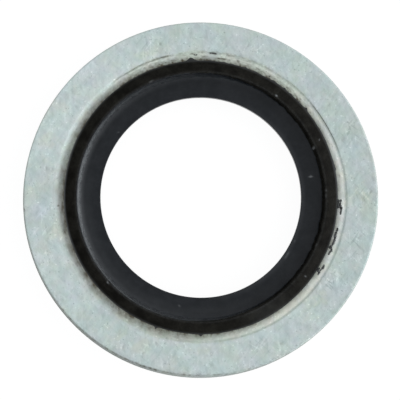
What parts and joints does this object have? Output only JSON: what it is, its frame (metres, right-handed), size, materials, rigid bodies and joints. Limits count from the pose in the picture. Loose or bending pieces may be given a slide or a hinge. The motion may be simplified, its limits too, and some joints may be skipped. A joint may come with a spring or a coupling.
{
  "type": "drain plug seal ring",
  "caption": "Flat zinc plated steel ring with black rubber bonded in its bore: a sealing ridge on each face and a thin inner lip that centres it on the plug's thread.",
  "frame": {"origin": "on the surface that the lower sealing ridge rests on, under the centre of the steel rim", "axes": "+Z along the ring's axis, towards the face whose rim edge is rounded; +Y towards the side where the steel band is narrowest"},
  "size_m": [0.022, 0.022, 0.0028],
  "materials": {
    "zinc_plated_steel": "satin",
    "black_rubber": "matte"
  },
  "bodies": {
    "root": {"steel_washer": "zinc_plated_steel", "rubber_seal": "black_rubber"}
  },
  "joints": []
}
